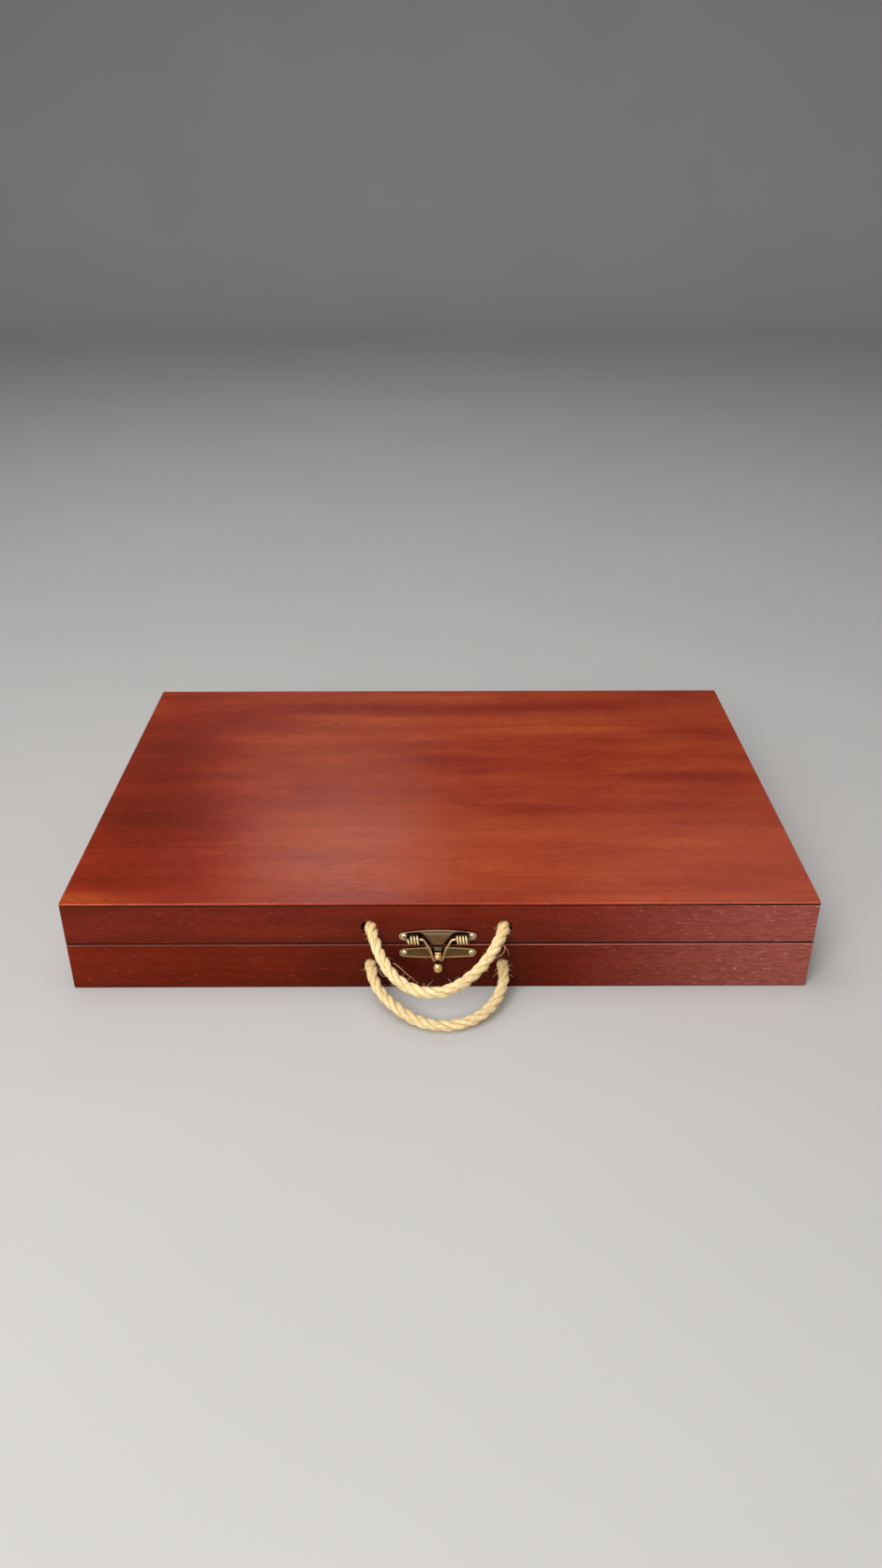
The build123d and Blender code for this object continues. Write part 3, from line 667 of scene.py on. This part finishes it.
knotShape = {
    # inward, along the wall and up, in millimetres from the middle of the knot
    "route": [(-9.0, 0, 0), (-6.0, -1.0, 0), (-2.0, -2.3, 0), (2.5, -2.3, 0), (5.8, -1.0, 1.5),
              (6.2, 2.2, 4.2), (3.6, 5.6, 3.4), (2.2, 6.2, 0), (1.2, 3.1, -4.4), (0.0, -3.1, -4.6),
              (-1.2, -6.2, 0), (-2.4, -3.1, 4.6), (-3.8, 1.6, 4.4), (-4.9, 3.8, 1.8), (-3.2, 2.8, 0),
              (1.0, 2.4, 0), (4.4, 2.6, -0.6), (8.2, 3.0, -1.4), (12.4, 3.2, -2.0)],
    "middleY": -136.6,
    "tightness": 0.82,
}


def splinePoints(route):
    # the line of a smooth NURBS spline that has the route as its control points
    curve = bpy.data.curves.new("route", "CURVE")
    curve.dimensions = "3D"
    spline = curve.splines.new("NURBS")
    spline.points.add(len(route) - 1)
    for point, place in zip(spline.points, route):
        point.co = (*place, 1)
    spline.order_u = 3
    spline.use_endpoint_u = True
    spline.resolution_u = 24
    holder = bpy.data.objects.new("route", curve)
    mesh = bpy.data.meshes.new_from_object(holder)
    points = [vert.co.copy() for vert in mesh.vertices]
    bpy.data.meshes.remove(mesh)
    bpy.data.objects.remove(holder)
    bpy.data.curves.remove(curve)
    return points


def evenly(points, step):
    gaps = [(b - a).length for a, b in zip(points, points[1:])]
    count = max(8, round(sum(gaps) / step))
    spacing = sum(gaps) / count
    made, at, index = [points[0].copy()], 0.0, 0
    for number in range(1, count):
        wanted = number * spacing
        while index < len(gaps) - 1 and at + gaps[index] < wanted:
            at += gaps[index]
            index += 1
        share = (wanted - at) / gaps[index]
        made.append(points[index].lerp(points[index + 1], min(1.0, share)))
    return made + [points[-1].copy()]


def carriedFrames(points):
    # a direction and two sides at each point, turned along the line without twist
    frames, side = [], None
    for index, point in enumerate(points):
        ahead = points[min(index + 1, len(points) - 1)] - points[max(index - 1, 0)]
        ahead.normalize()
        if side is None:
            side = ahead.orthogonal()
        side = (side - ahead * side.dot(ahead)).normalized()
        frames.append((point, ahead, side.copy(), ahead.cross(side)))
    return frames


def wrapGrid(bm, rings, around, place, mark=None):
    # a flat grid is bent round into a tube, its seam is merged and its ends are closed
    made = bmesh.ops.create_grid(bm, x_segments=around, y_segments=rings - 1, size=0.5)["verts"]
    for vert in made:
        turn = 2 * math.pi * (vert.co.x + 0.5)
        ring = round((vert.co.y + 0.5) * (rings - 1))
        vert.co = place(turn, ring)
        if mark:
            mark(vert, turn, ring)
    bmesh.ops.remove_doubles(bm, verts=made, dist=0.000002)
    alive = [vert for vert in made if vert.is_valid]
    rims = {edge for vert in alive for edge in vert.link_edges if edge.is_boundary}
    bmesh.ops.holes_fill(bm, edges=list(rims), sides=0)


def laidRope(name, points, values, seed, material, squeeze=lambda share: 1):
    # three strands are laid round the line, each with the relief of its yarns
    lengthStep = (points[1] - points[0]).length
    frames = carriedFrames(points)
    bm = bmesh.new()
    fibreLayer = bm.verts.layers.float_vector.new("fibre")
    placeLayer = bm.verts.layers.float_vector.new("place")
    crest = values["strandReach"] + values["strandRadius"]
    runLength = lengthStep * (len(frames) - 1)
    (layWander, layWaves), (reachWander, reachWaves) = values["layWander"], values["reachWander"]
    for strand in range(3):
        wander = Vector((seed * 7.3 + strand * 3.1, 0, 0))
        middles = []
        for index, (point, ahead, side, other) in enumerate(frames):
            run = index * lengthStep
            turn = 2 * math.pi * (run / values["lay"] + strand / 3)
            turn += layWander * noise.noise(Vector((run * layWaves, seed * 5.7, 0)))
            reach = values["strandReach"] * squeeze(index / (len(frames) - 1))
            reach *= 1 + reachWander * noise.noise(wander + Vector((run * reachWaves, 3.3, 0)))
            middles.append(point + (side * math.cos(turn) + other * math.sin(turn)) * reach)
        strandFrames = []
        for index, middle in enumerate(middles):
            ahead = middles[min(index + 1, len(middles) - 1)] - middles[max(index - 1, 0)]
            ahead.normalize()
            out = middle - frames[index][0]
            out = (out - ahead * out.dot(ahead)).normalized()
            strandFrames.append((middle, out, ahead.cross(out)))

        def place(turn, ring):
            middle, out, across = strandFrames[ring]
            run = ring * lengthStep
            yarn = turn + 2 * math.pi * run / values["yarnLay"]
            radius = values["strandRadius"] * squeeze(ring / (len(frames) - 1))
            swell = 0.99 + values["yarnRelief"] * abs(math.sin(values["yarns"] * yarn / 2))
            for share, waves, around, start in values["unevenness"]:
                spot = Vector((run * waves, math.cos(yarn) * around, math.sin(yarn) * around))
                swell += share * noise.noise(wander * start + spot)
            share, waves = values["thickness"]
            swell += share * noise.noise(wander + Vector((run * waves, 9.1, 4.2)))
            return middle + (out * math.cos(turn) + across * math.sin(turn)) * radius * swell

        def mark(vert, turn, ring):
            run = ring * lengthStep
            yarn = turn + 2 * math.pi * run / values["yarnLay"]
            vert[fibreLayer] = wander + Vector((run, math.cos(yarn), math.sin(yarn)))
            high = (vert.co - frames[ring][0]).length / crest
            toEnd = min(run, runLength - run)
            (grooveStart, grooveDepth), (endStart, endReach) = values["grooveShade"], values["endShade"]
            # crease between two yarns, groove between two strands, and the ends in the shade of the holes
            vert[placeLayer] = (
                1 - abs(math.sin(values["yarns"] * yarn / 2)),
                min(1.0, max(0.0, (grooveStart - high) / grooveDepth)),
                min(1.0, max(0.0, (endStart - toEnd) / endReach)),
            )

        wrapGrid(bm, len(frames), values["around"], place, mark)
    bmesh.ops.recalc_face_normals(bm, faces=bm.faces)
    return linkObject(name, bm, material)


def ropeHandle(name, values, seed, material, fibreMaterial):
    place, slope = handlePlace, math.radians(values["sag"])
    leftX, rightX = (place["middleX"] + x for x in values["holes"])
    # the rope leans on the inner side of each hole
    leftX, rightX = leftX + values["lean"], rightX - values["lean"]
    inward = (place["insideY"], place["mouthY"] + 3, place["mouthY"] - 2.0)
    route = [(leftX, y, values["height"]) for y in inward]
    for x, reach in values["loop"]:
        y = place["swingY"] - reach * math.cos(slope)
        route.append((place["middleX"] + x, y, values["height"] - reach * math.sin(slope)))
    route += [(rightX, y, values["height"]) for y in reversed(inward)]
    path = evenly(splinePoints([Vector(p) * mm for p in route]), ropeMakeup["ringStep"])
    total = ropeMakeup["ringStep"] * (len(path) - 1)

    def squeeze(share):
        toMouth = abs(min(share, 1 - share) * total - (place["insideY"] - place["mouthY"]) * mm)
        return 1 + place["mouthSwell"] * max(0.0, 1 - toMouth / place["swellReach"])

    rope = laidRope(name, path, ropeMakeup, seed, material, squeeze)
    fibres = fibrePiece(name + "Fibres", name, path, seed, fibreMaterial)
    for piece in (rope, fibres):
        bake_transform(piece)
    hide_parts(values["node"])


def ropeKnot(name, body, node, x, height, seed, material):
    # an overhand knot against the wall's inner face, and its short tail
    flip = 1 if seed % 2 else -1        # the knots at the two sides are mirrored
    route = [
        Vector((x + flip * along, knotShape["middleY"] + inward, height + up)) * mm
        for inward, along, up in knotShape["route"]
    ]
    route[0].x = x * mm
    tight = knotShape["tightness"]

    def squeeze(share):
        return tight + (1 - tight) * max(0.0, 1 - min(share, 1 - share) * 9)

    path = evenly(splinePoints(route), ropeMakeup["ringStep"])
    knot = laidRope(name, path, ropeMakeup, seed, material, squeeze)
    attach(knot, body)
    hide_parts(node)


def plainTube(bm, points, radius, around, taper=False):
    # a round wire or fibre, drawn out thin towards its tip where it tapers
    frames = carriedFrames(points)

    def place(turn, ring):
        middle, ahead, side, other = frames[ring]
        size = radius * (1 - 0.75 * ring / (len(frames) - 1)) if taper else radius
        return middle + (side * math.cos(turn) + other * math.sin(turn)) * size

    wrapGrid(bm, len(frames), around, place)


looseFibres = {
    # in millimetres; the mouths are where the rope leaves its holes
    "thickness": 0.13,
    "ringStep": 0.7,
    "around": 5,
    "whiskers": 90,
    "bareRings": 60,            # at each end of the rope, without whiskers
    "mouthWhiskers": 46,
    "mouthsY": (-157.5, -153.0),
    "whiskerLength": (1.6, 4.5),
    "whiskerThickness": (0.05, 0.10),
    "whiskerAround": 4,
    "lowestTip": 0.8,
    "lidRopeHandle": [
        [(-27.5, -177.0, 38.0), (-26.5, -178.2, 38.2), (-22.9, -181.2, 37.1), (-19.6, -184.7, 35.7),
         (-15.7, -187.7, 34.6), (-14.6, -189.4, 33.9), (-12.4, -189.8, 33.8)],
        [(-9.5, -194.5, 31.5), (-8.5, -192.6, 32.7), (-6.4, -191.2, 33.2), (-4.0, -188.1, 34.4)],
        [(9.0, -193.5, 32.0), (7.3, -190.9, 33.3), (5.6, -188.9, 34.1), (4.3, -187.0, 34.8)],
        [(6.0, -193.5, 32.0), (6.7, -191.2, 33.2), (8.4, -189.2, 34.0), (9.5, -188.1, 34.4)],
        [(34.8, -166.5, 42.2), (35.8, -165.2, 43.2), (38.1, -167.0, 42.5), (40.4, -169.5, 41.6),
         (40.8, -172.8, 40.3)],
        [(38.9, -166.8, 42.6), (38.7, -168.5, 41.9), (37.5, -171.9, 40.6), (34.6, -174.1, 39.8),
         (30.5, -174.8, 39.4)],
        [(-35.0, -178.5, 38.0), (-35.8, -181.7, 36.9), (-34.9, -184.7, 35.7), (-33.2, -186.3, 35.1),
         (-31.1, -186.3, 35.1)],
        [(13.1, -192.0, 31.0), (13.0, -193.6, 29.0), (12.6, -194.6, 27.0), (12.2, -195.2, 25.0)],
        [(-39.0, -157.5, 45.6), (-38.1, -157.2, 46.4), (-37.2, -156.0, 47.2)],
    ],
    "baseRopeHandle": [
        [(-23.5, -186.5, 6.5), (-25.6, -186.9, 6.8), (-28.3, -187.1, 6.6), (-30.3, -188.2, 6.1)],
        [(38.5, -156.5, 18.6), (40.7, -156.0, 19.3), (43.1, -155.6, 19.5), (44.8, -156.4, 19.2)],
        [(39.0, -158.5, 17.6), (41.2, -159.0, 18.1), (43.5, -158.7, 18.3), (44.6, -159.0, 18.1)],
        [(38.8, -160.8, 16.8), (41.0, -161.3, 17.0), (43.3, -162.0, 16.8), (44.4, -163.5, 16.1)],
        [(36.5, -160.5, 17.0), (34.7, -160.7, 17.2), (33.0, -161.9, 16.8), (32.0, -163.8, 16.1)],
        [(5.0, -193.8, 4.2), (5.1, -196.0, 3.6), (6.0, -197.2, 3.2), (6.5, -198.2, 2.6)],
    ],
}


def fibrePiece(name, handle, path, seed, material):
    # the stray fibres that stand off the rope, and short whiskers all along it
    values, dice = looseFibres, random.Random(seed)
    bm = bmesh.new()
    for route in values[handle]:
        points = evenly(splinePoints([Vector(p) * mm for p in route]), values["ringStep"] * mm)
        plainTube(bm, points, values["thickness"] * mm, values["around"], taper=True)
    frames = carriedFrames(path)
    ropeRadius = ropeMakeup["diameter"] / 2
    far, near = (y * mm for y in values["mouthsY"])
    mouths = [frame for frame in frames if far < frame[0].y < near]
    hanging = frames[values["bareRings"]:-values["bareRings"]]
    for number in range(values["whiskers"] + values["mouthWhiskers"]):
        some = mouths if number >= values["whiskers"] else hanging
        middle, ahead, side, other = dice.choice(some)
        turn, lean = dice.uniform(0, 2 * math.pi), dice.uniform(-1.0, 1.0)
        out = side * math.cos(turn) + other * math.sin(turn)
        curl = other * math.cos(turn) - side * math.sin(turn)
        length = dice.uniform(*values["whiskerLength"]) * mm
        way = (out * 0.8 + ahead * lean + curl * dice.uniform(-0.7, 0.7)).normalized()
        root = middle + out * ropeRadius * 0.8
        tip = root + way * length
        if tip.z < values["lowestTip"] * mm:
            continue
        bend = curl * dice.uniform(-0.25, 0.25) + ahead * dice.uniform(-0.25, 0.25)
        bend = (root + tip) / 2 + bend * length
        points = evenly(splinePoints([root, bend, tip]), length / 5)
        thickness = dice.uniform(*values["whiskerThickness"]) * mm
        plainTube(bm, points, thickness, values["whiskerAround"], taper=True)
    bmesh.ops.recalc_face_normals(bm, faces=bm.faces)
    fibres = linkObject(name, bm, material)
    return fibres


ropeFinish = ropeMaterial("sisalRope")
fibreFinish = fibreMaterial("looseSisal")
for seed, (name, values) in enumerate(handleRoutes.items()):
    ropeHandle(name, values, seed + 1, ropeFinish, fibreFinish)
    for side, x in zip(("left", "right"), values["holes"]):
        ropeKnot(
            f"{values['body']}{side.title()}Knot", values["body"], f"{values['body']}_{side}_rope_end",
            handlePlace["middleX"] + x, values["height"], 5 + 2 * seed + (side == "left"), ropeFinish,
        )
print("stage: rope handles are laid")


# Felt linings

feltMakeup = {
    # the outline and the thickness come from the CAD node
    "across": 90,
    "deep": 60,
    "nap": 0.07,        # share of the thickness that the nap wanders
    "napWaves": 60,
}


def feltSheet(name, body, node, material):
    values = feltMakeup
    low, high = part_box(node)
    bm = bmesh.new()
    bmesh.ops.create_grid(bm, x_segments=values["across"], y_segments=values["deep"], size=0.5)
    for vert in bm.verts:
        x = low.x + (high.x - low.x) * (vert.co.x + 0.5)
        y = low.y + (high.y - low.y) * (vert.co.y + 0.5)
        vert.co = (x, y, low.z)
    facing = 1 if body == "base" else -1
    made = bmesh.ops.extrude_face_region(bm, geom=list(bm.faces))["geom"]
    for vert in only(made, bmesh.types.BMVert):
        nap = noise.noise(Vector((vert.co.x * values["napWaves"], vert.co.y * values["napWaves"], facing)))
        vert.co.z += (high.z - low.z) * (1 - values["nap"] + values["nap"] * nap)
    bmesh.ops.recalc_face_normals(bm, faces=bm.faces)
    felt = linkObject(name, bm, material)
    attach(felt, body)
    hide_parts(node)


feltFinish = feltMaterial("greenFelt")
feltSheet("baseFelt", "base", "base_felt", feltFinish)
feltSheet("lidFelt", "lid", "lid_felt", feltFinish)
print("stage: felt is laid")


# Latch springs: both are wound to the same hand, so their front bars slant the same way

springMakeup = {
    # radius of the wire and the coil, and its middle's rise from the parting and reach from the wall
    "wire": 0.56, "coil": 2.60, "rise": 6.0, "reach": 4.2,
    # place and pitch of the coil, the angles it turns through, and its two tails (out, rise, reach)
    "left": {
        "start": 17.55, "pitch": -1.84, "from": 20, "to": 1230,
        "before": [(18.3, 6.6, 5.0), (17.9, 6.6, 6.4)],
        "after": [(10.4, 4.7, 2.1), (9.3, 4.5, 2.4), (7.9, 3.4, 3.0)],
    },
    "right": {
        "start": 12.1, "pitch": 1.76, "from": -210, "to": 1230,
        "before": [(7.9, 3.4, 3.0), (9.3, 4.5, 2.4), (10.4, 4.7, 2.1)],
        "after": [(18.0, 5.0, 1.6), (18.3, 6.4, 1.5)],
    },
    "held": (18.0, 6.0, 4.2),       # a point at the outer end of the spring, and on the next line one at the inner end
    "carried": (10.6, 6.0, 4.2),
    "ringStep": 0.0003,
    "around": 12,
}

springLook = {
    "colour": (1.0, 0.80, 0.38),
    "roughness": 0.46,
    # painted shade on the back of the coil, fading out between the two reaches from the wall, in millimetres
    "paintedSheenAndShade": (0.10, 0.062, 0.028),
    "paintedShadeReach": (4.2, 5.6),
}


def latchPoint(side, x, rise, reach):
    return Vector((latchX + side * x, frontY - reach, partingZ + rise)) * mm


def springPiece(name, which, node, material):
    values, own = springMakeup, springMakeup[which]
    side = -1 if which == "left" else 1
    step = 30
    swell = 1 / math.cos(math.radians(step / 2))       # the spline runs inside its control points
    route = [latchPoint(side, *p) for p in own["before"]]
    for turned in range(own["from"], own["to"] + 1, step):
        angle = math.radians(turned)
        route.append(latchPoint(
            side, own["start"] + own["pitch"] * turned / 360,
            values["rise"] - values["coil"] * swell * math.sin(angle),
            values["reach"] + values["coil"] * swell * math.cos(angle),
        ))
    route += [latchPoint(side, *p) for p in own["after"]]
    bm = bmesh.new()
    plainTube(bm, evenly(splinePoints(route), values["ringStep"]), values["wire"] * mm, values["around"])
    bmesh.ops.recalc_face_normals(bm, faces=bm.faces)
    spring = linkObject(name, bm, material)
    start, end = (latchPoint(side, *values[key]) for key in ("held", "carried"))
    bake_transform(spring)
    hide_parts(node)


springFinish = wireMaterial("springWire", **springLook)
springPiece("leftSpring", "left", "left_bail_spring", springFinish)
springPiece("rightSpring", "right", "right_bail_spring", springFinish)
print("stage: springs are wound")


# Finishes of the CAD pieces

def dress(names, material, slot):
    for name in names:
        node = cadNodes[name]
        for materialSlot in node.material_slots:
            materialSlot.material = material


quarter = math.pi / 2
# colours for the lines along the front walls: near black for painted shade and for a dark line under the
# top's edge, pink for a painted highlight
nearBlack, paintedPinkHighlight = (0.012, 0.003, 0.002), (0.52, 0.20, 0.15)
woodFinishes = {
    # the top is biased lighter and the front walls darker: partly the boards' own tone, partly painted shade
    # on the front walls
    "mahoganyTop": {"on": ["lid_panel"], "bias": 0.115, "fleckShare": 0.10, "streaks": topStreaks},
    "mahoganyBottom": {"on": ["base_panel"], "shift": (0.4, 0.2, 0.1)},
    "mahoganyLidFront": {
        "on": ["lid_front_wall"], "shift": (0.15, 0.33, 0.2), "bias": -0.34, "gloss": 0.12,
        "front": {
            # heights in millimetres; a line has its low and high edge, its colour and where it grows from
            "holeHeight": 45.7, "middle": 0.18, "low": (33.9, 42.0, -0.10), "pale": 0.6,
            # painted shade along the parting gap, and a dark line under the top's front edge
            "lines": [(33.4, 34.5, nearBlack, None), (61.35, 62.3, nearBlack, -250)],
        },
    },
    "mahoganyBaseFront": {
        "on": ["base_front_wall"], "shift": (-0.35, 0.13, 0.5), "bias": -0.38, "gloss": 0.07,
        "front": {
            "holeHeight": 17.0, "middle": 0.45, "low": (0.0, 22.0, -0.2), "pale": 0.7,
            "lines": [
                # painted shade over the rounded edge along the parting gap, a painted highlight just below
                # it, and a painted contact shadow along the floor
                (33.15, 33.9, nearBlack, None), (32.4, 32.98, paintedPinkHighlight, -30), (-0.5, 0.7, nearBlack, None),
            ],
        },
    },
    "mahoganyBack": {"on": ["lid_back_wall", "base_back_wall"], "shift": (0.9, 0.7, 0.3), "bias": -0.08},
    "mahoganyLeft": {
        "on": ["lid_left_wall", "base_left_wall"], "turn": quarter, "shift": (0.2, 0.5, 0.4), "bias": -0.08,
    },
    "mahoganyRight": {
        "on": ["lid_right_wall", "base_right_wall"], "turn": quarter, "shift": (0.6, 0.1, 0.8), "bias": -0.05,
    },
}

# painted shade: a dark brown for the shade on the hook's tongue, at the bail's neck, in the knob's notch and
# in the screws' slots
paintedShadeTone = (0.045, 0.028, 0.016)
hingeParts = ("base_leaf", "lid_leaf", "pin")
brassFinishes = {
    # a patch: half width, low and high edge from the parting, how far out it starts, and its tone
    "antiqueBailPlate": {
        "on": ["bail_plate"], "slot": "latch_brass",
        "base": (0.275, 0.160, 0.084), "worn": (1.0, 0.78, 0.50), "wear": 0.2, "upShade": 0.8,
        "rims": (10.5, 33.0, 43.2),     # half width, and the lowest and highest edge above the floor
    },
    "antiqueHookPlate": {
        "on": ["hook_plate"], "slot": "latch_brass",
        "base": (0.208, 0.125, 0.059), "worn": (0.92, 0.68, 0.40), "wear": 0.3, "rims": (4.3, 20.0, 32.4),
        "patches": [
            (2.6, -3.9, -1.4, 1.1, (0.46, 0.44, 0.40)), (3.2, -9.2, -1.0, 3.2, paintedShadeTone),
            (3.2, -4.2, -1.0, 5.0, (0.88, 0.66, 0.36)), (3.2, -9.2, -3.4, 3.0, (0.96, 0.66, 0.30)),
        ],
    },
    "knobBrass": {
        "on": ["bail_knob"], "slot": "latch_brass",
        "base": (1.0, 0.67, 0.26), "worn": (1.0, 0.75, 0.36), "roughness": (0.40, 0.55),
        "patches": [(0.6, -12.0, -10.5, 0.0, paintedShadeTone)],
    },
    "bailBrass": {
        "on": ["bail_wire"], "slot": "latch_brass",
        "base": (0.035, 0.022, 0.009), "worn": (0.74, 0.54, 0.30), "roughness": (0.36, 0.50), "wear": 0.03,
        "patches": [(10.9, -9.4, 9.0, 0.0, (0.80, 0.53, 0.27)), (6.0, -30.0, -9.4, 0.0, paintedShadeTone)],
    },
    "hingeScrewBrass": {
        "on": ["base_hinge_screws", "lid_hinge_screws"], "slot": "screws",
        "base": (0.60, 0.44, 0.22), "worn": (0.74, 0.56, 0.30), "roughness": (0.30, 0.45),
    },
    "hingeBrass": {
        "on": [f"{side}_hinge_{part}" for side in ("left", "right") for part in hingeParts],
        "slot": "hinge_brass",
        "base": (0.46, 0.32, 0.14), "worn": (0.70, 0.52, 0.26), "roughness": (0.30, 0.48),
    },
}
for node, rise, apart in (("bail_plate_screws", 6.4, 20.7), ("hook_plate_screws", -6.1, 20.5)):
    # painted shade: dark spots stand for the shade in the screws' slots
    brassFinishes[node.replace("plate_screws", "ScrewBrass")] = {
        "on": [node], "slot": "screws", "base": (0.98, 0.88, 0.62), "worn": (1.0, 0.92, 0.70),
        "roughness": (0.44, 0.56), "metal": 0.6,
        "spots": [(-apart, rise, 0.55, paintedShadeTone), (apart, rise, 0.55, paintedShadeTone)],
    }

for name, values in woodFinishes.items():
    dress(values.pop("on"), woodMaterial(name, **values), "wood")
for name, values in brassFinishes.items():
    nodes, slot = values.pop("on"), values.pop("slot")
    dress(nodes, brassMaterial(name, **values), slot)
print("stage: finishes are on")
